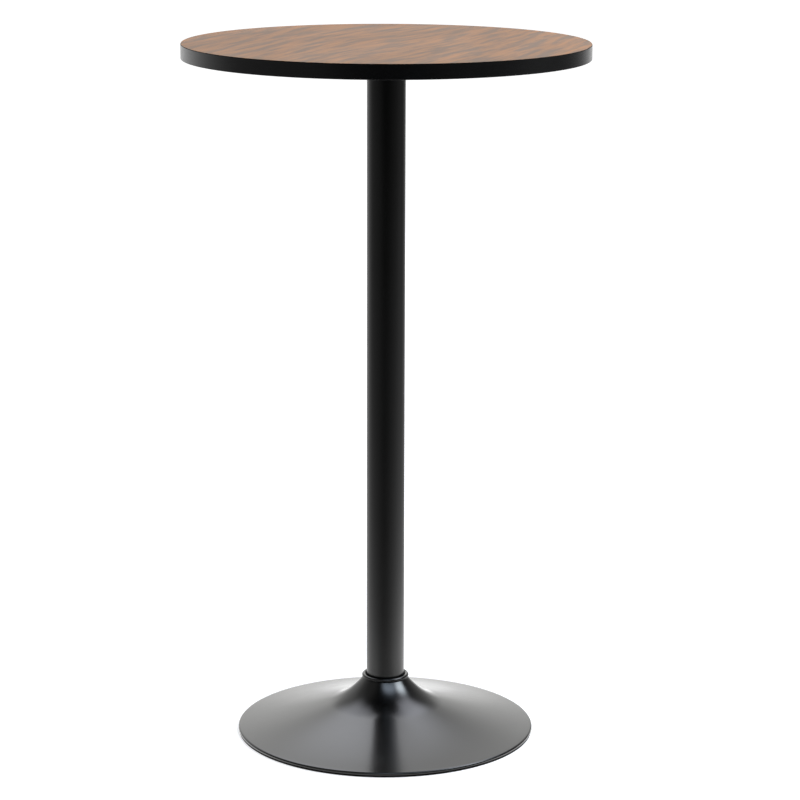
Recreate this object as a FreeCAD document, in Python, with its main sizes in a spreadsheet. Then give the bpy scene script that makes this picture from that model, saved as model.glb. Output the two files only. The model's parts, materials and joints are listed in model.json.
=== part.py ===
"""Pub table: a round laminate top on a steel column with a trumpet base.

Lengths are in millimetres. The origin is on the floor under the middle of the table,
with +Z up and -Y towards someone who stands in front of it.
"""
import FreeCAD, Part
import math
import os
import Sketcher

# Driving dimensions

SIZES = {
    # Whole table
    "table_height": 1050,
    "top_diameter": 600,
    "column_diameter": 57,
    "base_diameter": 451,
    # Tabletop board
    "top_thickness": 22,
    "laminate_thickness": 0.8,
    "laminate_set_back": 0.3,
    "laminate_bevel": 0.3,
    "backer_thickness": 0.6,
    "band_thickness": 2,
    "band_corner": 0.8,
    "band_seam": 0.4,
    "band_glue_line": 0.25,
    "insert_glue_line": 0.1,
    "insert_wall": 1.8,
    "insert_length": 12,
    "insert_chamfer": 0.6,
    "insert_hole_spare": 1.5,
    "backer_hole_margin": 0.5,
    # Top plate and its fasteners
    "top_plate_side": 200,
    "top_plate_thickness": 3,
    "top_plate_corner": 18,
    "plate_bolt_spacing": 160,
    "plate_bolt_diameter": 6,
    "plate_bolt_hole_margin": 0.5,
    "plate_bolt_head_diameter": 10.5,
    "plate_bolt_head_height": 3.3,
    "plate_bolt_head_rim": 0.6,
    "plate_bolt_socket": 4,
    "plate_bolt_socket_depth": 2,
    "plate_bolt_end_gap": 0.8,
    "plate_bolt_chamfer": 0.7,
    "flat_washer_width": 2.8,
    "flat_washer_thickness": 1.6,
    "spring_washer_width": 2.4,
    "spring_washer_thickness": 1.6,
    "spring_washer_slit": 1.2,
    # Column, its sockets and the tie rod
    "column_wall": 1.5,
    "spigot_wall": 2,
    "top_spigot_length": 40,
    "base_spigot_length": 30,
    "spigot_fit": 0.3,
    "tie_rod_diameter": 10,
    "tie_rod_chamfer": 1,
    "tie_rod_stickout": 3,
    "tie_rod_end_gap": 0.5,
    "tie_rod_hole_margin": 0.5,
    "rod_nut_flats": 17,
    "rod_nut_height": 8,
    "rod_washer_width": 14,
    "rod_washer_thickness": 3,
    "rod_spring_washer_width": 3.6,
    "rod_spring_washer_thickness": 2.2,
    "rod_spring_washer_slit": 1.6,
    "washer_gap": 0.2,
    "thread_gap": 0.1,
    # Trumpet shell
    "shell_thickness": 1.5,
    "neck_height": 81.6,
    "rim_bend": 1.7,
    "rim_return": 6,
    # Collar on the neck
    "collar_bead": 3.1,
    "collar_groove": 0.9,
    "collar_groove_depth": 3,
    "collar_fit": 0.15,
    "collar_skirt_wall": 3.2,
    "collar_skirt_length": 10,
    "collar_skirt_clearance": 0.45,
    # Base plate, ballast and floor ring
    "base_plate_thickness": 2,
    "base_plate_fit": 0.3,
    "plateau_rise": 18,
    "plateau_margin": 8,
    "plateau_flare": 24,
    "plateau_bend": 4,
    "ballast_margin": 45,
    "ballast_width": 60,
    "ballast_clearance": 2,
    "ballast_screw_diameter": 6,
    "ballast_screw_head_diameter": 11.4,
    "ballast_screw_length": 8,
    "ballast_screw_socket": 4,
    "ballast_screw_socket_depth": 1.8,
    "ballast_screw_fit": 0.1,
    "ballast_hole_spare": 1,
    "floor_ring_height": 1,
    "floor_ring_width": 8,
    "floor_ring_inset": 1,
    "floor_ring_corner": 0.4,
    # Overrun of every cut past the faces that it opens
    "overrun": 2,
}
# Steepness of the trumpet at the ends of its arcs, as shares of its mean steepness
NECK_STEEPNESS_SHARE = 3.184
THROAT_STEEPNESS_SHARE = 2.276
SKIRT_STEEPNESS_SHARE = 0.843
RIM_STEEPNESS_SHARE = 0.411
THROAT_RUN_SHARE = 0.0917
COLLAR_SEAT_SHARE = 0.9
HEXAGON_CORNER_SHARE = 1 / math.sqrt(3)
BALLAST_SCREWS = 3
PLATE_CORNERS = 4
EDGE_MATCH = 0.001
HALF_TURN = math.pi
SHEET = "Sizes"
DERIVED = "Derived"

doc = FreeCAD.newDocument("pub_table")
sheet = doc.addObject("Spreadsheet::Sheet", SHEET)
for row, (alias, number) in enumerate(SIZES.items(), start=1):
    sheet.set(f"A{row}", str(number))
    sheet.setAlias(f"A{row}", alias)
derived = doc.addObject("Spreadsheet::Sheet", DERIVED)
doc.recompute()


# Lengths that are bound to the sheet

class Length:
    """A size as an expression of the document, with its value for a sketch's first drawing."""

    def __init__(self, text, value):
        self.text = text
        self.value = value

    def __add__(self, other):
        return Length(f"({self.text} + {other.text})", self.value + other.value)

    def __sub__(self, other):
        return Length(f"({self.text} - {other.text})", self.value - other.value)

    def __mul__(self, factor):
        factor = as_length(factor)
        return Length(f"({self.text} * {factor.text})", self.value * factor.value)

    def __truediv__(self, factor):
        factor = as_length(factor)
        return Length(f"({self.text} / {factor.text})", self.value / factor.value)

    def __neg__(self):
        return Length(f"(-{self.text})", -self.value)


def as_length(number):
    """A plain factor as a Length, or the Length itself."""
    return number if isinstance(number, Length) else Length(f"{number}", number)


def size(alias):
    """A driving dimension from the sheet."""
    return Length(f"{SHEET}.{alias}", SIZES[alias])


def keep(alias, length):
    """A worked-out dimension, kept in the second sheet under its own name."""
    keep.row += 1
    derived.set(f"A{keep.row}", f"={length.text}")
    derived.setAlias(f"A{keep.row}", alias)
    return Length(f"{DERIVED}.{alias}", length.value)


keep.row = 0
ZERO = as_length(0)
ONE = as_length(1)


def root(square):
    return Length(f"sqrt({square.text})", math.sqrt(square.value))


# Sketches and features

parts = []


def new_body(label, seat, group=False):
    """An empty sub-part whose local floor is at the height of its seat."""
    body = doc.addObject("PartDesign::Body", label)
    body.Label = label
    body.AllowCompound = group
    body.setExpression(".Placement.Base.z", seat.text)
    parts.append(body)
    return body


def origin_feature(body, role):
    return next(f for f in body.Origin.OriginFeatures if f.Role == role)


def new_sketch(body, plane="XZ_Plane", across=ZERO, along=ZERO):
    """A sketch on one of the body's planes, with its origin moved across (X) and along (Y)."""
    sketch = body.newObject("Sketcher::SketchObject", f"{body.Label}_sketch")
    sketch.AttachmentSupport = [(origin_feature(body, plane), "")]
    sketch.MapMode = "FlatFace"
    sketch.setExpression(".AttachmentOffset.Base.x", across.text)
    if plane == "XZ_Plane":
        sketch.setExpression(".AttachmentOffset.Base.z", (-along).text)
    else:
        sketch.setExpression(".AttachmentOffset.Base.y", along.text)
    return sketch


def bind(sketch, constraint, name, length):
    """Add a constraint under a name and drive it by an expression."""
    index = sketch.addConstraint(constraint)
    sketch.renameConstraint(index, name)
    sketch.setExpression(f"Constraints.{name}", length.text)


def arc_between(start, end, radius, left):
    """The arc under half a turn from start to end that bends left or right."""
    chord = end - start
    rise = math.sqrt(max(radius ** 2 - (chord.Length / 2) ** 2, 0))
    side = FreeCAD.Vector(-chord.y, chord.x, 0).normalize() * (rise if left else -rise)
    centre = (start + end) / 2 + side
    first, last = (start, end) if left else (end, start)
    turn = [math.atan2(p.y - centre.y, p.x - centre.x) for p in (first, last)]
    if turn[1] < turn[0]:
        turn[1] += 2 * HALF_TURN
    circle = Part.Circle(centre, FreeCAD.Vector(0, 0, 1), radius)
    return Part.ArcOfCircle(circle, *turn)


def draw(sketch, outline):
    """Draw a closed outline: each corner is (x, y), with (radius, bend) where an arc leaves it."""
    prefix = f"o{sketch.GeometryCount}"
    corners = [FreeCAD.Vector(c[0].value, c[1].value, 0) for c in outline]
    runs = []
    for i, corner in enumerate(outline):
        start, end = corners[i], corners[(i + 1) % len(corners)]
        if len(corner) == 2:
            runs.append((sketch.addGeometry(Part.LineSegment(start, end)), 1, 2))
        else:
            radius, bend = corner[2:]
            left = bend == "left"
            arc = sketch.addGeometry(arc_between(start, end, radius.value, left))
            runs.append((arc, 1, 2) if left else (arc, 2, 1))
    for i, (geometry, first, last) in enumerate(runs):
        after, after_first, after_last = runs[(i + 1) % len(runs)]
        sketch.addConstraint(Sketcher.Constraint("Coincident", geometry, last, after, after_first))
        x, y = outline[i][:2]
        bind(sketch, Sketcher.Constraint("DistanceX", geometry, first, x.value), f"{prefix}x{i}", x)
        bind(sketch, Sketcher.Constraint("DistanceY", geometry, first, y.value), f"{prefix}y{i}", y)
        if len(outline[i]) > 2:
            radius = outline[i][2]
            bind(sketch, Sketcher.Constraint("Radius", geometry, radius.value), f"{prefix}r{i}", radius)


def draw_circle(sketch, radius):
    """Draw a circle about the sketch's origin."""
    circle = Part.Circle(FreeCAD.Vector(0, 0, 0), FreeCAD.Vector(0, 0, 1), radius.value)
    geometry = sketch.addGeometry(circle)
    sketch.addConstraint(Sketcher.Constraint("Coincident", geometry, 3, -1, 1))
    bind(sketch, Sketcher.Constraint("Radius", geometry, radius.value), f"radius{geometry}", radius)


def block(x0, x1, y0, y1):
    return [(x0, y0), (x1, y0), (x1, y1), (x0, y1)]


def hexagon(flats):
    corner = flats * HEXAGON_CORNER_SHARE
    return [
        (corner, ZERO), (corner / 2, flats / 2), (-(corner / 2), flats / 2),
        (-corner, ZERO), (-(corner / 2), -(flats / 2)), (corner / 2, -(flats / 2)),
    ]


def add_feature(body, kind, sketch):
    feature = body.newObject(f"PartDesign::{kind}", f"{body.Label}_{kind.lower()}")
    feature.Profile = sketch
    return feature


def revolve(body, outline, across=ZERO, along=ZERO):
    """Turn an outline about the sketch's upright axis."""
    sketch = new_sketch(body, "XZ_Plane", across, along)
    draw(sketch, outline)
    feature = add_feature(body, "Revolution", sketch)
    feature.ReferenceAxis = (sketch, ["V_Axis"])
    feature.Angle = 360
    doc.recompute()
    return feature


def pad(body, sketch, length):
    feature = add_feature(body, "Pad", sketch)
    feature.setExpression("Length", length.text)
    doc.recompute()
    return feature


def compare_cut(feature, volume):
    """Stop if a cut has missed its solid."""
    doc.recompute()
    if feature.Shape.Volume >= volume:
        raise ValueError(f"{feature.Label} cuts nothing")
    return feature


def pocket_up(body, sketch, depth):
    """Cut upwards from a sketch on the body's floor."""
    volume = body.Shape.Volume
    feature = add_feature(body, "Pocket", sketch)
    feature.Reversed = True
    feature.setExpression("Length", depth.text)
    return compare_cut(feature, volume)


def groove(body, outlines, across=ZERO, along=ZERO):
    """Turn outlines about the sketch's upright axis and cut them away."""
    volume = body.Shape.Volume
    sketch = new_sketch(body, "XZ_Plane", across, along)
    for outline in outlines:
        draw(sketch, outline)
    feature = add_feature(body, "Groove", sketch)
    feature.ReferenceAxis = (sketch, ["V_Axis"])
    feature.Angle = 360
    return compare_cut(feature, volume)


def round_edges(body, base, edges, radius):
    """Round the named edges of a feature."""
    feature = body.newObject("PartDesign::Fillet", f"{body.Label}_fillet")
    feature.Base = (base, edges)
    feature.setExpression("Radius", radius.text)
    doc.recompute()
    return feature


def upright_edges(shape):
    """Names of the edges of a shape that run straight up."""
    names = []
    for number, edge in enumerate(shape.Edges, start=1):
        ends = [v.Point for v in edge.Vertexes]
        if len(ends) == 2 and math.hypot(ends[0].x - ends[1].x, ends[0].y - ends[1].y) < EDGE_MATCH:
            names.append(f"Edge{number}")
    return names


def ring_edges(shape, radii):
    """Names of the round edges of a shape that have these radii."""
    names = []
    for number, edge in enumerate(shape.Edges, start=1):
        if isinstance(edge.Curve, Part.Circle):
            if any(abs(edge.Curve.Radius - radius.value) < EDGE_MATCH for radius in radii):
                names.append(f"Edge{number}")
    return names


def repeat_round(body, features, count):
    """Repeat features about the table's axis."""
    pattern = body.newObject("PartDesign::PolarPattern", f"{body.Label}_pattern")
    pattern.Originals = features
    pattern.Axis = (origin_feature(body, "Z_Axis"), [""])
    pattern.Angle = 360
    pattern.Occurrences = count
    body.Tip = pattern
    doc.recompute()


def sleeve(body, outer, inner, height, across=ZERO, along=ZERO):
    return revolve(body, block(inner, outer, ZERO, height), across, along)


# Heights and radii that several pieces share

board_underside = keep("board_underside", size("table_height") - size("top_thickness"))
column_head = keep("column_head", board_underside - size("top_plate_thickness"))
plate_seat = keep("plate_seat", size("floor_ring_height") + size("shell_thickness"))
plate_top = keep("plate_top", plate_seat + size("base_plate_thickness"))
plateau_underside = keep("plateau_underside", plate_seat + size("plateau_rise"))
column_foot = keep("column_foot", plateau_underside + size("base_plate_thickness"))

board_radius = keep(
    "board_radius", size("top_diameter") / 2 - size("band_thickness") - size("band_glue_line"),
)
column_radius = keep("column_radius", size("column_diameter") / 2)
column_bore = keep("column_bore", column_radius - size("column_wall"))
bolt_offset = keep("bolt_offset", size("plate_bolt_spacing") / 2)
bolt_radius = keep("bolt_radius", size("plate_bolt_diameter") / 2)
insert_radius = keep("insert_radius", bolt_radius + size("thread_gap") + size("insert_wall"))
rod_radius = keep("rod_radius", size("tie_rod_diameter") / 2)


# Tabletop board: core and the band round it, laminate over both, backer below

def drill_for_inserts(body, radius, depth):
    """Four holes up into the board, one over each corner bolt of the top plate."""
    sketch = new_sketch(body, "XY_Plane", bolt_offset, bolt_offset)
    draw_circle(sketch, radius)
    repeat_round(body, [pocket_up(body, sketch, depth)], PLATE_CORNERS)


def make_tabletop_core():
    thickness = size("top_thickness") - size("laminate_thickness") - size("backer_thickness")
    body = new_body("tabletop_core", board_underside + size("backer_thickness"))
    revolve(body, block(ZERO, board_radius, ZERO, thickness))
    depth = size("insert_length") + size("insert_hole_spare")
    drill_for_inserts(body, insert_radius + size("insert_glue_line"), depth)


def make_wood_laminate():
    """A sheet over the board and its band, trimmed just inside the band's face with a small bevel."""
    body = new_body("wood_laminate", size("table_height") - size("laminate_thickness"))
    thickness = size("laminate_thickness")
    bevel = size("laminate_bevel")
    outer = size("top_diameter") / 2 - size("laminate_set_back")
    revolve(body, [
        (ZERO, ZERO),
        (outer, ZERO),
        (outer, thickness - bevel),
        (outer - bevel, thickness),
        (ZERO, thickness),
    ])


def make_backer_sheet():
    body = new_body("backer_sheet", board_underside)
    revolve(body, block(ZERO, board_radius, ZERO, size("backer_thickness")))
    radius = insert_radius + size("backer_hole_margin")
    drill_for_inserts(body, radius, size("backer_thickness") + size("overrun"))


def make_edge_band():
    """A plastic band under the laminate with a rounded lower corner, butted at a seam at the back."""
    body = new_body("edge_band", board_underside)
    outer = size("top_diameter") / 2
    inner = outer - size("band_thickness")
    height = size("top_thickness") - size("laminate_thickness")
    corner = size("band_corner")
    revolve(body, [
        (inner, ZERO),
        (outer - corner, ZERO, corner, "left"),
        (outer, corner),
        (outer, height),
        (inner, height),
    ])
    half = size("band_seam") / 2
    seam = new_sketch(body, "XY_Plane")
    draw(seam, block(-half, half, inner - size("overrun"), outer + size("overrun")))
    pocket_up(body, seam, height + size("overrun"))


def make_insert_nuts():
    body = new_body("insert_nuts", board_underside + size("backer_thickness"), group=True)
    bore = bolt_radius + size("thread_gap")
    chamfer = size("insert_chamfer")
    length = size("insert_length")
    sleeves = revolve(body, [
        (bore, ZERO),
        (insert_radius, ZERO),
        (insert_radius, length - chamfer),
        (insert_radius - chamfer, length),
        (bore, length),
    ], bolt_offset, bolt_offset)
    repeat_round(body, [sleeves], PLATE_CORNERS)


# Top plate with the bolts and washers that hold it to the board

def make_top_plate():
    body = new_body("top_plate", column_head)
    half = size("top_plate_side") / 2
    square = new_sketch(body, "XY_Plane")
    draw(square, block(-half, half, -half, half))
    plate = pad(body, square, size("top_plate_thickness"))
    round_edges(body, plate, upright_edges(plate.Shape), size("top_plate_corner"))
    holes = new_sketch(body, "XY_Plane", bolt_offset, bolt_offset)
    draw_circle(holes, bolt_radius + size("plate_bolt_hole_margin"))
    depth = size("top_plate_thickness") + size("overrun")
    repeat_round(body, [pocket_up(body, holes, depth)], PLATE_CORNERS)


def make_plate_flat_washers():
    body = new_body("plate_flat_washers", column_head - size("flat_washer_thickness"), group=True)
    inner = bolt_radius + size("washer_gap")
    outer = inner + size("flat_washer_width")
    washer = sleeve(body, outer, inner, size("flat_washer_thickness"), bolt_offset, bolt_offset)
    repeat_round(body, [washer], PLATE_CORNERS)


def split_washer(body, inner, width, thickness, slit, across=ZERO, along=ZERO):
    """A spring washer's ring and the slit across its +X side."""
    ring = sleeve(body, inner + width, inner, thickness, across, along)
    cut = new_sketch(body, "XY_Plane", across, along)
    reach = inner + width + size("overrun")
    draw(cut, block(ZERO, reach, -(slit / 2), slit / 2))
    return [ring, pocket_up(body, cut, thickness + size("overrun"))]


spring_washer_seat = keep(
    "spring_washer_seat",
    column_head - size("flat_washer_thickness") - size("spring_washer_thickness"),
)


def make_plate_spring_washers():
    body = new_body("plate_spring_washers", spring_washer_seat, group=True)
    washer = split_washer(
        body, bolt_radius + size("washer_gap"), size("spring_washer_width"),
        size("spring_washer_thickness"), size("spring_washer_slit"), bolt_offset, bolt_offset,
    )
    repeat_round(body, washer, PLATE_CORNERS)


def make_plate_bolts():
    """Button-head bolts, heads down, with a hexagon socket in each."""
    head_height = size("plate_bolt_head_height")
    body = new_body("plate_bolts", spring_washer_seat - head_height, group=True)
    head_radius = size("plate_bolt_head_diameter") / 2
    rim = size("plate_bolt_head_rim")
    crown = head_radius - bolt_radius
    crown_drop = head_height - rim
    dome = root(crown * crown + crown_drop * crown_drop)
    chamfer = size("plate_bolt_chamfer")
    shank_end = (
        board_underside + size("backer_thickness") + size("insert_length")
        - size("plate_bolt_end_gap") - spring_washer_seat + head_height
    )
    bolt = revolve(body, [
        (ZERO, ZERO),
        (bolt_radius, ZERO, dome, "left"),
        (head_radius, crown_drop),
        (head_radius, head_height),
        (bolt_radius, head_height),
        (bolt_radius, shank_end - chamfer),
        (bolt_radius - chamfer, shank_end),
        (ZERO, shank_end),
    ], bolt_offset, bolt_offset)
    socket = new_sketch(body, "XY_Plane", bolt_offset, bolt_offset)
    draw(socket, hexagon(size("plate_bolt_socket")))
    recess = pocket_up(body, socket, size("plate_bolt_socket_depth"))
    repeat_round(body, [bolt, recess], PLATE_CORNERS)


# Column, the spigots in its ends and the tie rod through it

spigot_radius = keep("spigot_radius", column_bore - size("spigot_fit"))


def make_column_tube():
    body = new_body("column_tube", column_foot)
    sleeve(body, column_radius, column_bore, column_head - column_foot)


def make_spigots():
    top = new_body("top_spigot", column_head - size("top_spigot_length"))
    sleeve(top, spigot_radius, spigot_radius - size("spigot_wall"), size("top_spigot_length"))
    foot = new_body("base_spigot", column_foot)
    sleeve(foot, spigot_radius, spigot_radius - size("spigot_wall"), size("base_spigot_length"))


rod_nut_seat = keep(
    "rod_nut_seat",
    plateau_underside - size("rod_washer_thickness") - size("rod_spring_washer_thickness")
    - size("rod_nut_height"),
)


def make_tie_rod():
    foot = rod_nut_seat - size("tie_rod_stickout")
    body = new_body("tie_rod", foot)
    length = column_head - size("tie_rod_end_gap") - foot
    chamfer = size("tie_rod_chamfer")
    revolve(body, [
        (ZERO, ZERO),
        (rod_radius - chamfer, ZERO),
        (rod_radius, chamfer),
        (rod_radius, length - chamfer),
        (rod_radius - chamfer, length),
        (ZERO, length),
    ])


def make_rod_nut(label, seat):
    """A hexagon nut whose corners are turned off at both faces."""
    body = new_body(label, seat)
    flats = size("rod_nut_flats")
    height = size("rod_nut_height")
    outline = new_sketch(body, "XY_Plane")
    draw(outline, hexagon(flats))
    draw_circle(outline, rod_radius + size("thread_gap"))
    pad(body, outline, height)
    inside = flats / 2
    reach = flats * HEXAGON_CORNER_SHARE + size("overrun")
    bevel = (reach - inside) * HEXAGON_CORNER_SHARE
    groove(body, [
        [(inside, ZERO), (reach, ZERO), (reach, bevel)],
        [(inside, height), (reach, height - bevel), (reach, height)],
    ])


def make_rod_washers():
    inner = rod_radius + size("washer_gap")
    flat = new_body("rod_washer", plateau_underside - size("rod_washer_thickness"))
    sleeve(flat, inner + size("rod_washer_width"), inner, size("rod_washer_thickness"))
    spring = new_body("rod_spring_washer", rod_nut_seat + size("rod_nut_height"))
    split_washer(
        spring, inner, size("rod_spring_washer_width"),
        size("rod_spring_washer_thickness"), size("rod_spring_washer_slit"),
    )


# Trumpet shell: throat, flare and skirt are tangent arcs, and the rim is rolled in under the plate

wall = size("shell_thickness")
rim_radius = keep("rim_radius", size("base_diameter") / 2)
rim_bend = keep("rim_outer_bend", size("rim_bend") + wall)
hem_radius = keep("hem_radius", rim_radius - rim_bend)
hem_height = keep("hem_height", size("floor_ring_height") + rim_bend)
lip_radius = keep(
    "lip_radius",
    column_radius + size("collar_fit") + size("collar_skirt_wall") + size("collar_skirt_clearance"),
)
reach = keep("trumpet_reach", rim_radius - lip_radius)
mean_steepness = keep("mean_steepness", (size("neck_height") - hem_height) / reach)
steepness = {
    "neck": keep("neck_steepness", mean_steepness * NECK_STEEPNESS_SHARE),
    "throat": keep("throat_steepness", mean_steepness * THROAT_STEEPNESS_SHARE),
    "skirt": keep("skirt_steepness", mean_steepness * SKIRT_STEEPNESS_SHARE),
    "rim": keep("rim_steepness", mean_steepness * RIM_STEEPNESS_SHARE),
}
cosines = {
    place: keep(f"{place}_cosine", ONE / root(ONE + rise * rise)) for place, rise in steepness.items()
}
sines = {place: keep(f"{place}_sine", cosines[place] * rise) for place, rise in steepness.items()}

throat = keep("throat_radius", reach * THROAT_RUN_SHARE / (sines["neck"] - sines["throat"]))
lip_cosine = keep("lip_cosine", throat * cosines["neck"] / (throat + wall))
lip_reach = keep("lip_reach", (throat + wall) * root(ONE - lip_cosine * lip_cosine))
neck_radius = keep("neck_radius", lip_radius + lip_reach - throat * sines["neck"])
throat_end = (
    keep("throat_end_radius", neck_radius + throat * (sines["neck"] - sines["throat"])),
    keep("throat_end_height", size("neck_height") - throat * (cosines["throat"] - cosines["neck"])),
)
rim_start = (
    keep("rim_start_radius", hem_radius + rim_bend * sines["rim"]),
    keep("rim_start_height", hem_height + rim_bend * cosines["rim"]),
)
run = rim_start[0] - throat_end[0]
drop = throat_end[1] - rim_start[1]
flare_run = sines["throat"] - sines["skirt"]
flare_drop = cosines["skirt"] - cosines["throat"]
skirt_run = sines["skirt"] - sines["rim"]
skirt_drop = cosines["rim"] - cosines["skirt"]
balance = keep("flare_balance", skirt_run * flare_drop - flare_run * skirt_drop)
flare = keep("flare_radius", (skirt_run * drop - skirt_drop * run) / balance)
skirt = keep("skirt_radius", (flare_drop * run - flare_run * drop) / balance)
skirt_start = (
    keep("skirt_start_radius", throat_end[0] + flare * flare_run),
    keep("skirt_start_height", throat_end[1] - flare * flare_drop),
)


def inside_of(point, place):
    """The point of the inner face that backs a point of the outer face."""
    return point[0] - wall * sines[place], point[1] - wall * cosines[place]


def make_base_shell():
    seat = size("floor_ring_height")
    body = new_body("base_shell", seat)
    outline = [
        (neck_radius, size("neck_height"), throat, "left"),
        (*throat_end, flare, "left"),
        (*skirt_start, skirt, "left"),
        (*rim_start, rim_bend, "right"),
        (rim_radius, hem_height, rim_bend, "right"),
        (hem_radius, seat),
        (hem_radius - size("rim_return"), seat),
        (hem_radius - size("rim_return"), plate_seat),
        (hem_radius, plate_seat, size("rim_bend"), "left"),
        (rim_radius - wall, hem_height, size("rim_bend"), "left"),
        (*inside_of(rim_start, "rim"), skirt + wall, "right"),
        (*inside_of(skirt_start, "skirt"), flare + wall, "right"),
        (*inside_of(throat_end, "throat"), throat + wall, "right"),
        (lip_radius, size("neck_height")),
    ]
    revolve(body, [(corner[0], corner[1] - seat, *corner[2:]) for corner in outline])


def make_neck_collar():
    """A round bead on the lip of the neck, with a groove round the column and a skirt in the neck."""
    seat = size("neck_height") - size("collar_skirt_length")
    body = new_body("neck_collar", seat)
    bead = size("collar_bead")
    inner = column_radius + size("collar_fit")
    lip = size("collar_skirt_length")
    middle = lip + bead * COLLAR_SEAT_SHARE
    groove_wall = inner + size("collar_groove")
    groove_floor = middle - size("collar_groove_depth")
    centre = groove_wall + bead
    foot = centre + bead * math.sqrt(1 - COLLAR_SEAT_SHARE ** 2)
    skirt_outer = inner + size("collar_skirt_wall")
    revolve(body, [
        (inner, ZERO),
        (skirt_outer, ZERO),
        (skirt_outer, lip),
        (foot, lip, bead, "left"),
        (centre, middle + bead, bead, "left"),
        (groove_wall, middle),
        (groove_wall, groove_floor),
        (inner, groove_floor),
    ])


# Inside of the base: dished plate, ballast and its screws, and the ring on the floor

ballast_outer = keep("ballast_outer", rim_start[0] - size("ballast_margin"))
ballast_inner = keep("ballast_inner", ballast_outer - size("ballast_width"))
screw_circle = keep("screw_circle", (ballast_inner + ballast_outer) / 2)
screw_radius = keep("screw_radius", size("ballast_screw_diameter") / 2)
screw_head = keep("screw_head", size("ballast_screw_head_diameter") / 2)


def screw_outline(margin, length):
    """Half of a countersunk screw or of its hole, head down on the plate's underside."""
    shank = screw_radius + margin
    head = screw_head + margin
    return [
        (ZERO, ZERO), (head, ZERO), (shank, head - shank), (shank, length), (ZERO, length),
    ]


def lowered(outline, depth):
    return [(x, z - depth) for x, z in outline]


def make_base_plate():
    body = new_body("base_plate", plate_seat)
    thickness = size("base_plate_thickness")
    rise = size("plateau_rise")
    hole = rod_radius + size("tie_rod_hole_margin")
    plateau = column_radius + size("plateau_margin")
    flare_length = size("plateau_flare")
    flat = plateau + flare_length
    edge = hem_radius - size("base_plate_fit")
    incline = root(flare_length * flare_length + rise * rise)
    shift = thickness * rise / (incline + flare_length)
    dish = revolve(body, [
        (hole, rise),
        (plateau, rise),
        (flat, ZERO),
        (edge, ZERO),
        (edge, thickness),
        (flat + shift, thickness),
        (plateau + shift, rise + thickness),
        (hole, rise + thickness),
    ])
    bend = size("plateau_bend")
    inner_bends = ring_edges(dish.Shape, [plateau, flat + shift])
    dish = round_edges(body, dish, inner_bends, bend)
    outer_bends = ring_edges(dish.Shape, [plateau + shift, flat])
    round_edges(body, dish, outer_bends, bend + thickness)
    countersink = screw_outline(size("ballast_screw_fit"), thickness + size("overrun"))
    repeat_round(body, [groove(body, [countersink], screw_circle)], BALLAST_SCREWS)


def ballast_top(radius):
    """Height over the plate of a cone that stays clear of the skirt: it starts under the rim's slope."""
    rim_line = rim_start[1] - plate_top + (rim_start[0] - radius) * steepness["rim"]
    return rim_line - (wall + size("ballast_clearance")) / cosines["rim"]


def make_ballast_ring():
    """A cast ring whose top slopes with the skirt above it."""
    body = new_body("ballast_ring", plate_top)
    revolve(body, [
        (ballast_inner, ZERO),
        (ballast_outer, ZERO),
        (ballast_outer, ballast_top(ballast_outer)),
        (ballast_inner, ballast_top(ballast_inner)),
    ])
    depth = size("ballast_screw_length") + size("ballast_hole_spare")
    hole = screw_outline(size("ballast_screw_fit"), depth)
    hole = lowered(hole, size("base_plate_thickness"))
    repeat_round(body, [groove(body, [hole], screw_circle)], BALLAST_SCREWS)


def make_ballast_screws():
    body = new_body("ballast_screws", plate_seat, group=True)
    screw = revolve(body, screw_outline(ZERO, size("ballast_screw_length")), screw_circle)
    socket = new_sketch(body, "XY_Plane", screw_circle)
    draw(socket, hexagon(size("ballast_screw_socket")))
    recess = pocket_up(body, socket, size("ballast_screw_socket_depth"))
    repeat_round(body, [screw, recess], BALLAST_SCREWS)


def make_floor_ring():
    """A rubber ring under the rolled rim, with rounded corners on the floor."""
    body = new_body("floor_ring", ZERO)
    height = size("floor_ring_height")
    outer = rim_radius - size("floor_ring_inset")
    corner = size("floor_ring_corner")
    inner = outer - size("floor_ring_width")
    revolve(body, [
        (inner + corner, ZERO),
        (outer - corner, ZERO, corner, "left"),
        (outer, corner),
        (outer, height),
        (inner, height),
        (inner, corner, corner, "left"),
    ])


# The whole table

make_tabletop_core()
make_wood_laminate()
make_backer_sheet()
make_edge_band()
make_insert_nuts()
make_top_plate()
make_plate_flat_washers()
make_plate_spring_washers()
make_plate_bolts()
make_column_tube()
make_spigots()
make_tie_rod()
make_rod_nut("rod_anchor_nut", column_head - size("rod_nut_height"))
make_rod_nut("rod_nut", rod_nut_seat)
make_rod_washers()
make_base_shell()
make_neck_collar()
make_base_plate()
make_ballast_ring()
make_ballast_screws()
make_floor_ring()
doc.recompute()

for item in doc.Objects:
    if {"Invalid", "Error"} & set(item.State):
        raise ValueError(f"{item.Label} failed: {item.State}")
for body in parts:
    if body.Shape.isNull() or not body.Shape.isValid() or not body.Shape.Solids:
        raise ValueError(f"{body.Label} has no valid solid")

os.makedirs("parts", exist_ok=True)
for body in parts:
    body.Shape.exportStep(f"parts/{body.Label}.step")
    print(f"{body.Label}: {len(body.Shape.Solids)} solids, {body.Shape.Volume:.0f} mm3")
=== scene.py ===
import json
import math

import bmesh
import bpy
from mathutils import Matrix, Quaternion, Vector


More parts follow.
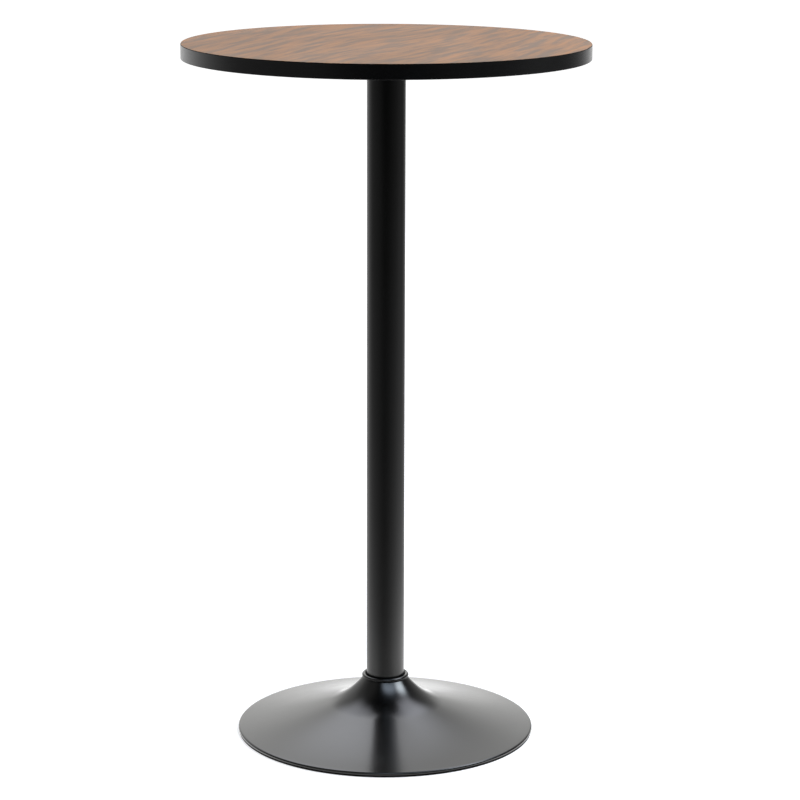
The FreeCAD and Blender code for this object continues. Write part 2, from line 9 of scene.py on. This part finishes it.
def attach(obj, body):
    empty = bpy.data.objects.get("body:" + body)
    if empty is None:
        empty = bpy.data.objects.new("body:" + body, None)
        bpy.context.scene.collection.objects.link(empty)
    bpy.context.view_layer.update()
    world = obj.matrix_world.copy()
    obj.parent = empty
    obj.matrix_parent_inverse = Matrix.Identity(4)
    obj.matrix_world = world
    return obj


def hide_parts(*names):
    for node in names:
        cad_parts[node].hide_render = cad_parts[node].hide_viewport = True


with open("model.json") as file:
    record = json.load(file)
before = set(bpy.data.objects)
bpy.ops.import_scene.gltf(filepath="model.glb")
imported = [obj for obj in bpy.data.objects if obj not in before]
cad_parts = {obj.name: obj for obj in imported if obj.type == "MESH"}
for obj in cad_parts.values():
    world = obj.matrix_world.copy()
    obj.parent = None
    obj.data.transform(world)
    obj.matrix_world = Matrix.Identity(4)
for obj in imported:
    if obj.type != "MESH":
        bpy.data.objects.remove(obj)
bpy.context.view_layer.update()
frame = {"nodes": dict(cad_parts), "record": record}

nodes = frame["nodes"]
scene = bpy.context.scene


# Node helpers

# Most of a noise texture's values lie in this range
NOISE_LOW, NOISE_HIGH = 0.3, 0.7


class Tree:
    """A short way to add and link the nodes of a material, lamp or world."""

    def __init__(self, owner):
        owner.use_nodes = True
        self.tree = owner.node_tree

    def add(self, kind, settings=None, **inputs):
        """Add a node; an input is a value, or an output socket to link from."""
        node = self.tree.nodes.new(f"ShaderNode{kind}")
        for name, value in (settings or {}).items():
            setattr(node, name, value)
        for name, value in inputs.items():
            self.feed(node, name.replace("_", " "), value)
        return node

    def feed(self, node, name, value):
        """Set or link an input, which a name or a number picks out."""
        socket = node.inputs[int(name)] if name.isdigit() else node.inputs[name]
        if isinstance(value, bpy.types.NodeSocket):
            self.tree.links.new(value, socket)
        else:
            socket.default_value = value

    def math(self, operation, first, second=0.0, third=0.0):
        node = self.add("Math", {"operation": operation})
        for number, value in enumerate((first, second, third)):
            self.feed(node, str(number), value)
        return node.outputs[0]

    def vector_math(self, operation, first, second=(0, 0, 0)):
        node = self.add("VectorMath", {"operation": operation})
        self.feed(node, "0", first)
        self.feed(node, "1", second)
        return node.outputs[0]

    def split(self, vector):
        return self.add("SeparateXYZ", Vector=vector).outputs

    def join(self, x, y, z=0.0):
        return self.add("CombineXYZ", X=x, Y=y, Z=z).outputs[0]

    def noise(self, vector, scale, detail=2.0, roughness=0.5):
        node = self.add("TexNoise", Vector=vector, Scale=scale, Detail=detail, Roughness=roughness)
        return node.outputs[0]

    def spread(self, value, low, high, new_low=0.0, new_high=1.0):
        """Map a value smoothly from one range to another."""
        node = self.add("MapRange", {"interpolation_type": "SMOOTHSTEP"}, Value=value)
        ends = {"From Min": low, "From Max": high, "To Min": new_low, "To Max": new_high}
        for name, number in ends.items():
            node.inputs[name].default_value = number
        return node.outputs[0]

    def ramp(self, value, stops):
        """Colours or grey levels between stops, each a place from 0 to 1 and what it has there."""
        node = self.add("ValToRGB", Fac=value)
        elements = node.color_ramp.elements
        while len(elements) < len(stops):
            elements.new(0.5)
        for element, (place, colour) in zip(elements, stops):
            element.position = place
            element.color = (*colour, 1) if isinstance(colour, tuple) else (*grey(colour), 1)
        return node.outputs[0]

    def mix(self, factor, first, second):
        node = self.add("Mix", {"data_type": "RGBA"})
        for number, value in (("0", factor), ("6", first), ("7", second)):
            if isinstance(value, tuple):
                value = (*value, 1)
            self.feed(node, number, value)
        return node.outputs[2]

    def bump(self, height, distance, strength):
        return self.add("Bump", Height=height, Distance=distance, Strength=strength).outputs[0]

    def vary(self, noise, low, high):
        """A noise made to run from one value to another."""
        return self.spread(noise, NOISE_LOW, NOISE_HIGH, low, high)

    def tone(self, noise, dark, light):
        """A noise made to run from one colour to another."""
        return self.ramp(noise, [(NOISE_LOW, dark), (NOISE_HIGH, light)])


class Surface(Tree):
    """A material round one Principled shader, with the object's own coordinates in metres."""

    def __init__(self, name, **inputs):
        self.material = bpy.data.materials.new(name)
        super().__init__(self.material)
        self.shader = self.tree.nodes["Principled BSDF"]
        self.place = self.add("TexCoord").outputs["Object"]
        self.set(**inputs)

    def set(self, **inputs):
        for name, value in inputs.items():
            if isinstance(value, tuple):
                value = (*value, 1)
            self.feed(self.shader, name.replace("_", " "), value)


def grey(level):
    return (level, level, level)


# Materials

# The grain's slope across the top, and how far it eases within a bend at the middle
GRAIN_SLOPE = 3.1
GRAIN_EASE = 1.4
GRAIN_BEND = 0.09
# How much of a step to the right, and of a step back, lies along the grain
ALONG_SHARE_RIGHT = 0.37
ALONG_SHARE_BACK = 0.93
# How much of a step back from a line of grain lies across it
ACROSS_SHARE = 0.37
# The slow sway of the lines, with its width in metres
SWAY_SCALE = 9.0
SWAY_STRETCH = 0.6
SWAY_WIDTH = 0.010
# Layers of the print: fineness, stretch along the grain, detail, roughness and depth in the noise,
# then the range of the noise that each layer uses
GRAIN_LAYERS = {
    "streak": ((62, 0.12, 5, 0.6, 0.0), (0.37, 0.62)),
    "wash": ((16, 0.20, 2, 0.5, 0.3), (0.35, 0.65)),
    "lines": ((170, 0.035, 5, 0.65, 0.7), (0.36, 0.60)),
    "pores": ((640, 0.02, 2, 0.5, 1.1), (0.32, 0.44)),
}
# How far each layer darkens the wood
DARKENING = {"streak": 0.85, "lines": 0.34, "pores": 0.40}
LIGHT_WOOD = (0.414, 0.207, 0.1010)
MIDDLE_WOOD = (0.377, 0.196, 0.1020)
DARK_WOOD = (0.192, 0.140, 0.104)
SHEET_EDGE = (0.018, 0.013, 0.010)
# How far up a surface faces where the sheet's dark edge gives way to the print
FACES_UP = (0.90, 0.99)


def wood_laminate():
    """Printed walnut grain: grey-brown streaks on tan, with fine pores along the grain."""
    s = Surface("wood_grain_laminate", Specular_IOR_Level=0.07)
    x, y = s.split(s.place)[:2]
    ease = s.math("MULTIPLY", s.math("ARCTANGENT", s.math("DIVIDE", x, GRAIN_BEND)), GRAIN_EASE * GRAIN_BEND)
    rise = s.math("SUBTRACT", s.math("MULTIPLY", x, GRAIN_SLOPE), ease)
    across = s.math("MULTIPLY", s.math("SUBTRACT", y, rise), ACROSS_SHARE)
    along = s.math("MULTIPLY_ADD", x, ALONG_SHARE_RIGHT, s.math("MULTIPLY", y, ALONG_SHARE_BACK))
    sway = s.noise(s.join(across, s.math("MULTIPLY", along, SWAY_STRETCH)), SWAY_SCALE, 1.0)
    across = s.math("MULTIPLY_ADD", sway, SWAY_WIDTH, across)

    def grain(fineness, stretch, detail, roughness, layer):
        spot = s.join(across, s.math("MULTIPLY", along, stretch), layer)
        return s.noise(spot, fineness, detail, roughness)

    layers = {name: s.spread(grain(*noise), *span) for name, (noise, span) in GRAIN_LAYERS.items()}
    colour = s.mix(layers["wash"], MIDDLE_WOOD, LIGHT_WOOD)
    for name, share in DARKENING.items():
        dark = s.math("MULTIPLY", s.math("SUBTRACT", 1.0, layers[name]), share)
        colour = s.mix(dark, colour, DARK_WOOD)
    upright = s.split(s.add("NewGeometry").outputs["Normal"])[2]
    colour = s.mix(s.spread(upright, *FACES_UP), SHEET_EDGE, colour)
    s.set(Base_Color=colour, Roughness=s.spread(layers["wash"], 0, 1, 0.64, 0.60),
          Normal=s.bump(s.math("ADD", layers["pores"], layers["lines"]), 0.00004, 0.5))
    return s.material


PAINT_UNEVENNESS = 0.02


def black_paint(name, roughness):
    """Powder coat: near-black, with a fine orange-peel skin and a slightly uneven sheen."""
    s = Surface(name, Specular_IOR_Level=0.5)
    patches = s.noise(s.place, 9.0, 3.0)
    speck = s.noise(s.place, 900.0, 2.0)
    s.set(Base_Color=s.tone(speck, grey(0.0006), grey(0.0014)),
          Roughness=s.vary(patches, roughness - PAINT_UNEVENNESS, roughness + PAINT_UNEVENNESS),
          Normal=s.bump(s.noise(s.place, 420.0, 2.0), 0.00003, 0.35))
    return s.material


BAND_GRAIN_ROUND = 3.0
BAND_GRAIN_UP = 260.0


def edge_plastic():
    """Satin black edge band with a fine moulded grain that runs round the edge."""
    s = Surface("edge_band_plastic", Specular_IOR_Level=0.5)
    x, y, z = s.split(s.place)[:3]
    turn = s.math("ARCTAN2", y, x)
    spot = s.join(s.math("MULTIPLY", turn, BAND_GRAIN_ROUND), s.math("MULTIPLY", z, BAND_GRAIN_UP))
    lines = s.noise(spot, 4.0, 3.0, 0.6)
    s.set(Base_Color=s.tone(lines, (0.0013, 0.0013, 0.0016), (0.0028, 0.0028, 0.0032)),
          Roughness=s.vary(lines, 0.20, 0.26),
          Normal=s.bump(lines, 0.00003, 0.4))
    return s.material


def collar_plastic():
    """Glossy black plastic with a faint haze."""
    s = Surface("collar_gloss_plastic", Specular_IOR_Level=0.42)
    haze = s.noise(s.place, 160.0, 3.0)
    s.set(Base_Color=s.tone(haze, grey(0.0015), grey(0.003)), Roughness=s.vary(haze, 0.10, 0.16))
    return s.material


def floor_rubber():
    """Dark rubber with a fine grain."""
    s = Surface("foot_rubber", Specular_IOR_Level=0.25)
    grain = s.noise(s.place, 1400.0, 3.0)
    s.set(Base_Color=s.tone(grain, grey(0.0012), grey(0.003)),
          Roughness=s.vary(grain, 0.28, 0.36),
          Normal=s.bump(grain, 0.00003, 0.4))
    return s.material


ZINC_TONES = [(0.3, (0.50, 0.53, 0.58)), (0.55, (0.60, 0.60, 0.60)), (0.75, (0.62, 0.58, 0.48))]


def zinc_steel():
    """Bright zinc plate with a faint yellow and blue cast in patches."""
    s = Surface("zinc_plate", Metallic=1.0)
    patches = s.noise(s.place, 120.0, 3.0)
    s.set(Base_Color=s.ramp(patches, ZINC_TONES),
          Roughness=s.vary(patches, 0.28, 0.42),
          Normal=s.bump(s.noise(s.place, 1800.0, 2.0), 0.00002, 0.4))
    return s.material


def board_core():
    """Raw fibreboard."""
    s = Surface("fibreboard", Specular_IOR_Level=0.2, Roughness=0.8)
    fibres = s.noise(s.place, 900.0, 4.0, 0.6)
    s.set(Base_Color=s.tone(fibres, (0.24, 0.15, 0.085), (0.42, 0.29, 0.18)),
          Normal=s.bump(fibres, 0.00015, 0.5))
    return s.material


def backer_laminate():
    """Dark balancing sheet with a fine pebbled face."""
    s = Surface("backer_sheet_black", Specular_IOR_Level=0.3)
    pebble = s.add("TexVoronoi", Vector=s.place, Scale=700.0).outputs["Distance"]
    patches = s.noise(s.place, 14.0, 3.0)
    s.set(Base_Color=s.tone(patches, (0.010, 0.010, 0.011), (0.016, 0.015, 0.015)),
          Roughness=s.vary(patches, 0.5, 0.6),
          Normal=s.bump(pebble, 0.00006, 0.5))
    return s.material


def ballast_iron():
    """Raw sand-cast iron."""
    s = Surface("cast_ballast", Metallic=0.7)
    sand = s.noise(s.place, 500.0, 4.0, 0.65)
    s.set(Base_Color=s.tone(sand, (0.05, 0.048, 0.045), (0.12, 0.11, 0.10)),
          Roughness=s.vary(sand, 0.6, 0.8),
          Normal=s.bump(sand, 0.0004, 0.6))
    return s.material


FINISHES = {
    "top_laminate": wood_laminate(),
    "board_core": board_core(),
    "backer_laminate": backer_laminate(),
    "edge_plastic": edge_plastic(),
    "black_paint": black_paint("black_powder_coat", 0.19),
    "collar_plastic": collar_plastic(),
    "floor_rubber": floor_rubber(),
    "zinc_steel": zinc_steel(),
    "ballast_iron": ballast_iron(),
}
COLUMN_FINISH = black_paint("black_satin_coat", 0.35)
for subpart in frame["record"]["subparts"]:
    finish = COLUMN_FINISH if subpart["node"] == "column_tube" else FINISHES[subpart["material_slot"]]
    for slot in nodes[subpart["node"]].material_slots:
        slot.material = finish


# Trumpet shell, turned with even rings so that reflections run smoothly round it

SHELL_TURN_STEPS = 256
SHELL_WALL = 0.0015
# Radius and height of the outer face at the neck
NECK = (0.0342005, 0.0816)
# Each arc's radius, its slope in degrees at both ends, and its number of steps
TRUMPET_ARCS = (
    (0.156484, 51.905, 42.359, 14),
    (0.104186, 42.359, 18.661, 24),
    (0.851050, 18.661, 9.3502, 20),
)
RIM_SLOPE = TRUMPET_ARCS[-1][2]
HEM_CENTRE = (0.2223, 0.0042)
HEM_BEND = 0.0032
HEM_STEPS = 28
HEM_RETURN = 0.006
LIP_RADIUS = 0.0323
SHARP_ANGLE = 40


def trumpet_face(inset):
    """Points of the shell's face from neck to rim, set in from the outer face along its normal."""
    points = []
    radius, height = NECK
    for bend, first, last, steps in TRUMPET_ARCS:
        start = math.radians(first)
        for step in range(steps + 1):
            slope = math.radians(first + (last - first) * step / steps)
            spot = (radius + bend * (math.sin(start) - math.sin(slope)),
                    height - bend * (math.cos(slope) - math.cos(start)))
            if step or not points:
                points.append((spot[0] - inset * math.sin(slope), spot[1] - inset * math.cos(slope)))
        radius, height = spot
    return points


def hem_face(bend):
    """Points of the rolled rim from the skirt round to its underside."""
    first = math.radians(90 - RIM_SLOPE)
    turns = [first - (first + math.pi / 2) * step / HEM_STEPS for step in range(1, HEM_STEPS + 1)]
    return [(HEM_CENTRE[0] + bend * math.cos(turn), HEM_CENTRE[1] + bend * math.sin(turn)) for turn in turns]


def shell_profile():
    """Outer face, rolled rim, in-turned flange and inner face, closed at the lip."""
    outer = trumpet_face(0.0) + hem_face(HEM_BEND)
    radius, height = outer[-1]
    flange = [(radius - HEM_RETURN, height), (radius - HEM_RETURN, height + SHELL_WALL)]
    inner = trumpet_face(SHELL_WALL) + hem_face(HEM_BEND - SHELL_WALL)
    inner = [point for point in inner if point[1] < NECK[1] and point[0] > LIP_RADIUS]
    return outer + flange + inner[::-1] + [(LIP_RADIUS, NECK[1])]


def make_shell():
    """Turn the profile round the column's axis."""
    profile = shell_profile()
    shape = bmesh.new()
    rings = []
    for step in range(SHELL_TURN_STEPS):
        turn = 2 * math.pi * step / SHELL_TURN_STEPS
        rings.append([shape.verts.new((r * math.cos(turn), r * math.sin(turn), z)) for r, z in profile])
    for step, ring in enumerate(rings):
        after = rings[(step + 1) % SHELL_TURN_STEPS]
        for spot in range(len(profile)):
            beyond = (spot + 1) % len(profile)
            shape.faces.new((ring[spot], ring[beyond], after[beyond], after[spot])).smooth = True
    bmesh.ops.recalc_face_normals(shape, faces=shape.faces)
    mesh = bpy.data.meshes.new("trumpet_shell")
    shape.to_mesh(mesh)
    shape.free()
    mesh.set_sharp_from_angle(angle=math.radians(SHARP_ANGLE))
    mesh.materials.append(FINISHES["black_paint"])
    shell = bpy.data.objects.new("trumpet_shell", mesh)
    scene.collection.objects.link(shell)
    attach(shell, "root")
    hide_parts("base_shell")


make_shell()


# Floor and surroundings

# How bright the walls are from the front, at 0, round to the back, at 1
DIM_SIDES = [(0.0, 0.03), (0.07, 0.06), (0.25, 0.15), (0.58, 0.18)]
LOW_WALL = DIM_SIDES + [
    (0.75, 0.30), (0.854, 0.46), (0.957, 0.54), (0.981, 0.82), (0.995, 1.45), (1.0, 1.55),
]
HIGH_WALL = DIM_SIDES + [
    (0.75, 0.34), (0.854, 0.58), (0.924, 0.64), (0.957, 0.78), (0.970, 1.2), (0.981, 1.52), (0.995, 1.68),
]
FRONT_WALL = [(0.0, 1.1), (0.1, 1.0), (0.18, 0.75), (0.25, 0.3), (0.4, 0.0)]
# Heights, as the sine of the angle above the horizon, between which the walls change
LOW_TO_HIGH = (0.12, 0.34)
FRONT_STARTS = (0.34, 0.52)
FRONT_ENDS = (0.52, 0.74)
CEILING = (0.80, 0.97)
CEILING_BRIGHTNESS = 0.15
# How much dimmer the walls are on the right, and brighter on the left, and how far aside that starts
BACKDROP_LEAN = 0.6
LEAN_STARTS = (0.08, 0.36)

# Painted reflection, a glow seen only in reflections: how bright the floor is there from the front, at 0,
# round to the back, at 1
FAR_FLOOR_LEFT = [
    (0.0, 0.01), (0.015, 0.03), (0.1, 0.16), (0.27, 0.12), (0.51, 0.12), (0.655, 0.43), (0.735, 0.6),
    (0.854, 0.9), (0.964, 0.98), (1.0, 1.02),
]
FAR_FLOOR_RIGHT = [
    (0.0, 0.01), (0.015, 0.02), (0.11, 0.05), (0.27, 0.06), (0.49, 0.2), (0.655, 0.05), (0.735, 0.05),
    (0.82, 0.14), (0.866, 0.25), (0.92, 0.56), (0.946, 0.75), (0.97, 0.98), (1.0, 1.02),
]
NEAR_FLOOR = [(0.0, 0.5), (0.25, 1.5), (0.5, 2.3), (1.0, 1.6)]
# A painted bright strip of floor round the rim, seen only in reflections, and how bright it is
RIM_FLOOR = [(0.0, 0.5), (0.09, 0.55), (0.146, 0.85), (0.213, 1.0), (0.3, 0.95), (0.5, 0.7), (1.0, 0.5)]
RIM_GLOW = 4.2
NEAR_LEAN = 0.5
LEFT_TO_RIGHT = (-0.02, 0.02)
# Distances from the column's axis in metres
NEAR_REACH = 0.35
NEAR_FALL = 0.4
RIM_REACH = (0.27, 0.34)
# Where the painted contact shadow in the floor's reflections lies
CONTACT_REACH = (0.2245, 0.2370)
GLOW_REACH = (0.4, 1.8)
FLOOR_REACH = 14.0
# How bright the floor's reflections stay in that painted contact shadow
CONTACT_BRIGHTNESS = 0.05
FLOOR_ALBEDO = 0.6
FLOOR_GLOW = 0.68
AMBIENT = 0.08
SCREEN_TINT = (1.0, 1.0, 0.985)

# Lamps: place, width and height in metres, radiance, roll in degrees, and tint
LAMPS = {
    "back_left": ((-1.392, 2.564, 4.121), (5.10, 3.75), 2.42, 38.0, (0.97, 1.0, 1.10)),
    "back_right": ((1.902, 1.824, 4.309), (6.10, 3.40), 4.00, -27.0, (0.97, 1.0, 1.10)),
    "key_right": ((3.384, -0.296, 3.729), (3.80, 1.60), 14.4, -30.6, (0.90, 1.0, 1.09)),
    "front_top": ((1.055, -2.071, 4.487), (6.20, 1.60), 4.50, -11.0, (0.85, 1.0, 1.19)),
}
LAMP_TARGET = (0, 0, 0.06)
# Share of a lamp's half width that is fully bright
LAMP_CORE = 0.2


def backdrop(s, ray):
    """How bright the studio is in a direction: a white screen behind, dim sides and a pale wall in front."""
    across, back = s.split(s.vector_math("NORMALIZE", s.vector_math("MULTIPLY", ray, (1, 1, 0))))[:2]
    height = s.split(ray)[2]
    turn = s.math("MULTIPLY_ADD", back, 0.5, 0.5)
    room = s.mix(s.spread(height, *LOW_TO_HIGH), s.ramp(turn, LOW_WALL), s.ramp(turn, HIGH_WALL))
    front = s.math("MULTIPLY", s.ramp(turn, FRONT_WALL), s.spread(height, *FRONT_STARTS))
    room = s.math("MULTIPLY_ADD", front, s.spread(height, *FRONT_ENDS, 1.0, 0.0), room)
    aside = s.math("MULTIPLY", across, s.spread(s.math("ABSOLUTE", across), *LEAN_STARTS))
    room = s.math("MULTIPLY", room, s.math("MULTIPLY_ADD", aside, -BACKDROP_LEAN, 1.0))
    return s.math("MULTIPLY", room, s.spread(height, *CEILING, 1.0, CEILING_BRIGHTNESS))


def floor_shine(s, distance):
    """Painted reflection: how bright the floor glows in reflections, far off, near and round the rim, with
    painted contact shade right at the rim.
    """
    across, back = s.split(s.vector_math("NORMALIZE", s.place))[:2]
    turn = s.math("MULTIPLY_ADD", back, 0.5, 0.5)
    far = s.mix(s.spread(across, *LEFT_TO_RIGHT), s.ramp(turn, FAR_FLOOR_LEFT), s.ramp(turn, FAR_FLOOR_RIGHT))
    near = s.math("MULTIPLY_ADD", across, NEAR_LEAN, s.ramp(turn, NEAR_FLOOR))
    beyond = s.math("MAXIMUM", s.math("SUBTRACT", distance, NEAR_REACH), 0.0)
    fall = s.math("DIVIDE", 1.0, s.math("MULTIPLY_ADD", beyond, 1 / NEAR_FALL, 1.0))
    shine = s.math("MULTIPLY_ADD", s.math("SUBTRACT", near, far), fall, far)
    # Painted highlight on the floor: a bright strip round the rim, shown only in reflections
    rim = s.math("MULTIPLY", s.ramp(turn, RIM_FLOOR), RIM_GLOW)
    shine = s.math("MULTIPLY_ADD", s.math("SUBTRACT", shine, rim), s.spread(distance, *RIM_REACH), rim)
    # Painted contact shadow: the reflected floor goes dark right at the rim
    return s.math("MULTIPLY", shine, s.spread(distance, *CONTACT_REACH, CONTACT_BRIGHTNESS, 1.0))


def make_floor():
    """A pale floor that fades into the white background and takes the table's shadow; in reflections it shows
    a painted glow instead of its lit colour.
    """
    mesh = bpy.data.meshes.new("floor")
    corners = [(x * FLOOR_REACH, y * FLOOR_REACH, 0) for x, y in ((-1, -1), (1, -1), (1, 1), (-1, 1))]
    mesh.from_pydata(corners, [], [(0, 1, 2, 3)])
    floor = bpy.data.objects.new("floor", mesh)
    scene.collection.objects.link(floor)
    s = Surface("pale_floor", Roughness=0.9, Specular_IOR_Level=0.0, Emission_Color=grey(1.0))
    distance = s.add("VectorMath", {"operation": "LENGTH"}, Vector=s.place).outputs["Value"]
    rays = s.add("LightPath").outputs
    # Painted reflection: glossy rays see only the painted floor glow, as the floor's colour turns black for
    # them
    glossy = s.math("MULTIPLY", rays["Is Glossy Ray"], floor_shine(s, distance))
    camera = s.math("MULTIPLY", rays["Is Camera Ray"], s.spread(distance, *GLOW_REACH, FLOOR_GLOW, 1.0))
    s.set(Base_Color=s.mix(rays["Is Glossy Ray"], grey(FLOOR_ALBEDO), grey(0.0)),
          Emission_Strength=s.math("ADD", camera, glossy))
    mesh.materials.append(s.material)


def make_world():
    """White for the camera; for reflections, the studio's walls, which end below a dark ceiling."""
    world = bpy.data.worlds.new("studio")
    scene.world = world
    s = Tree(world)
    ray = s.add("TexCoord").outputs["Generated"]
    room = s.vector_math("MULTIPLY", backdrop(s, ray), SCREEN_TINT)
    rays = s.add("LightPath").outputs
    colour = s.mix(rays["Is Diffuse Ray"], room, grey(AMBIENT))
    colour = s.mix(rays["Is Camera Ray"], colour, grey(1.0))
    s.feed(s.tree.nodes["Background"], "Color", colour)


def softbox(name, place, size, radiance, roll, tint):
    """A soft lamp aimed at the base, brightest in the middle and dimming smoothly to its edges."""
    lamp = bpy.data.lights.new(name, "AREA")
    lamp.shape = "RECTANGLE"
    lamp.size, lamp.size_y = size
    lamp.energy = radiance * math.pi * lamp.size * lamp.size_y
    lamp.color = tint
    s = Tree(lamp)
    u, v = s.split(s.add("NewGeometry").outputs["Parametric"])[:2]
    sides = [s.math("ABSOLUTE", s.math("MULTIPLY_ADD", side, 2.0, -1.0)) for side in (u, v)]
    fades = [s.spread(side, LAMP_CORE, 1.0, 1.0, 0.0) for side in sides]
    s.feed(s.tree.nodes["Emission"], "Strength", s.math("MULTIPLY", *fades))
    aim = (Vector(LAMP_TARGET) - Vector(place)).normalized()
    turn = aim.to_track_quat("-Z", "Y") @ Quaternion((0, 0, 1), math.radians(roll))
    holder = bpy.data.objects.new(name, lamp)
    holder.location = place
    holder.rotation_euler = turn.to_euler()
    scene.collection.objects.link(holder)


make_floor()
make_world()
for lamp_name, settings in LAMPS.items():
    softbox(lamp_name, *settings)


# Camera at the photograph's viewing angle

CAMERA_PLACE = (0, -4.14078, 1.4522)
CAMERA_SENSOR = 36
CAMERA_LENS = 127.387
CAMERA_PITCH = 12.7471
CAMERA_YAW = 0.2948
CAMERA_ROLL = 0.1766

camera = bpy.data.cameras.new("camera")
camera.sensor_width = CAMERA_SENSOR
camera.lens = CAMERA_LENS
viewer = bpy.data.objects.new("camera", camera)
pitch, yaw, roll = (math.radians(angle) for angle in (CAMERA_PITCH, CAMERA_YAW, CAMERA_ROLL))
viewer.matrix_world = (
    Matrix.Translation(CAMERA_PLACE) @ Matrix.Rotation(-yaw, 4, "Z")
    @ Matrix.Rotation(math.pi / 2 - pitch, 4, "X") @ Matrix.Rotation(roll, 4, "Z")
)
scene.collection.objects.link(viewer)
scene.camera = viewer
scene.view_settings.view_transform = "Standard"
